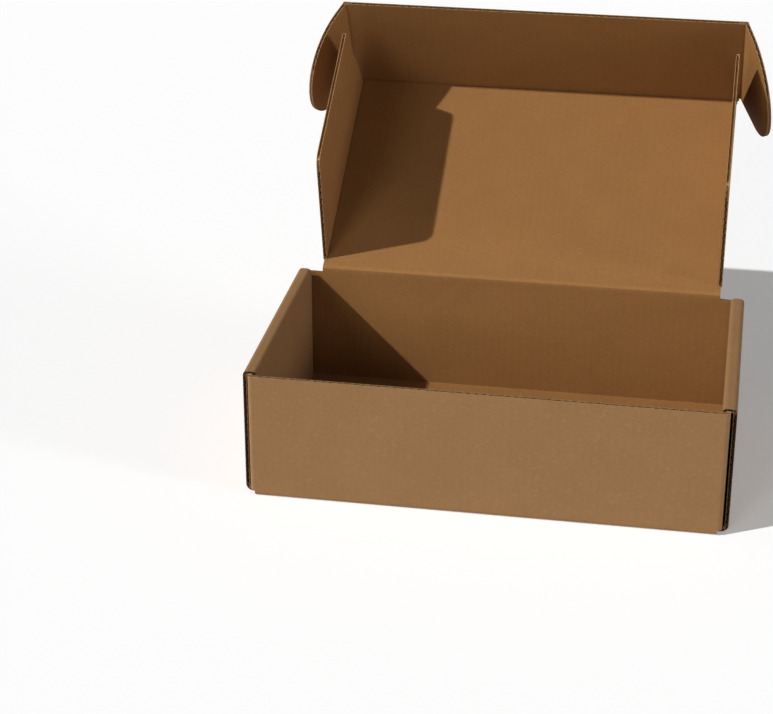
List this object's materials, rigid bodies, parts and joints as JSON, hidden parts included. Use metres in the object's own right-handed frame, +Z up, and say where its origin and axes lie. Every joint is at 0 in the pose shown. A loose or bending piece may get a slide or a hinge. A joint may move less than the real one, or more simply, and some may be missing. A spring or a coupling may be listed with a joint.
{
  "type": "corrugated mailer box",
  "caption": "Kraft corrugated mailer box with rolled double side walls, locking tabs and a hinged lid with tuck flap, curved ears and dust flaps.",
  "frame": {"origin": "middle of the tray's underside", "axes": "+X to the box's right, +Y from the front wall to the hinged back wall, +Z up"},
  "size_m": [0.2134, 0.2143, 0.1601],
  "materials": {
    "tray_board": "matt kraft liner, corrugated",
    "lid_board": "matt kraft liner, corrugated",
    "tuck_board": "matt kraft liner, corrugated",
    "ear_board": "matt kraft liner, corrugated",
    "dust_flap_board": "matt kraft liner, corrugated"
  },
  "bodies": {
    "tray": {"tray": "tray_board"},
    "lid": {"lid_panel": "lid_board"},
    "tuck": {"tuck_flap": "tuck_board"},
    "left_ear": {"left_ear": "ear_board"},
    "right_ear": {"right_ear": "ear_board"},
    "left_dust_flap": {"left_dust_flap": "dust_flap_board"},
    "right_dust_flap": {"right_dust_flap": "dust_flap_board"}
  },
  "joints": [
    {"name": "lid_hinge", "type": "hinge", "parent": "tray", "child": "lid", "pos_m": [0, 0.0577, 0.0555], "axis": [1, 0, 0], "range_deg": [-48, 149]},
    {"name": "tuck_fold", "type": "hinge", "parent": "lid", "child": "tuck", "pos_m": [0, 0.15499, 0.11396], "axis": [1, 0, 0], "range_deg": [-5.36, 16.61]},
    {"name": "left_ear_fold", "type": "hinge", "parent": "tuck", "child": "left_ear", "pos_m": [-0.09255, 0.15499, 0.11396], "axis": [0, -0.515, 0.8572], "range_deg": [-7.29, 22.61]},
    {"name": "right_ear_fold", "type": "hinge", "parent": "tuck", "child": "right_ear", "pos_m": [0.09255, 0.15499, 0.11396], "axis": [0, 0.515, -0.8572], "range_deg": [-7.29, 22.61]},
    {"name": "left_dust_flap_fold", "type": "hinge", "parent": "lid", "child": "left_dust_flap", "pos_m": [-0.08885, 0.10593, 0.08541], "axis": [0, 0.8572, 0.515], "range_deg": [0, 88]},
    {"name": "right_dust_flap_fold", "type": "hinge", "parent": "lid", "child": "right_dust_flap", "pos_m": [0.08885, 0.10593, 0.08541], "axis": [0, -0.8572, -0.515], "range_deg": [0, 88]}
  ],
  "couplings": [
    {"joint": "tuck_fold", "follows": "lid_hinge", "ratio": 0.11141},
    {"joint": "left_ear_fold", "follows": "lid_hinge", "ratio": 0.15168},
    {"joint": "right_ear_fold", "follows": "lid_hinge", "ratio": 0.15168}
  ]
}
